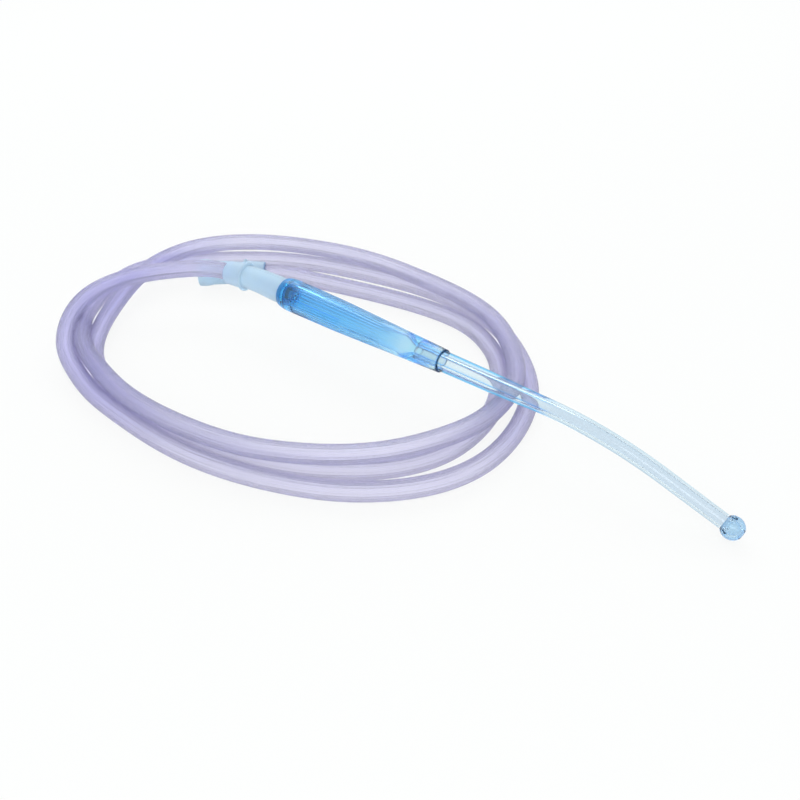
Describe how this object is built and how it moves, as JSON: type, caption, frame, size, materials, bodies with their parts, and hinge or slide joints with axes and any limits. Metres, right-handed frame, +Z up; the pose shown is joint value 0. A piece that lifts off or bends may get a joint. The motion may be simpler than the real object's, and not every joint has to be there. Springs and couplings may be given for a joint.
{
  "type": "yankauer suction tube",
  "caption": "Rigid clear blue suction handle with a long bent clear shaft and ball tip, with soft lilac suction tubing laid in a loose coil and moulded end connectors.",
  "frame": {"origin": "on the table, under the middle of the rigid suction tube (handle, shaft and ball tip)", "axes": "+Z up from the table; +X to the right as pictured; +Y away from the viewer"},
  "size_m": [0.3235, 0.2591, 0.0332],
  "materials": {
    "handle_blue": "clear blue, polished, with lengthwise flutes",
    "shaft_clear": "clear with a pale blue tint, polished",
    "tip_blue": "clear blue, polished",
    "connector_blue": "soft, milky powder blue, satin",
    "tubing_lilac": "soft, translucent lilac tint with fine lengthwise ribs"
  },
  "bodies": {
    "root": {"handle": "handle_blue", "shaft": "shaft_clear", "tip_ball": "tip_blue", "near_connector": "connector_blue", "far_connector": "connector_blue", "suction_tubing": "tubing_lilac"}
  },
  "joints": []
}
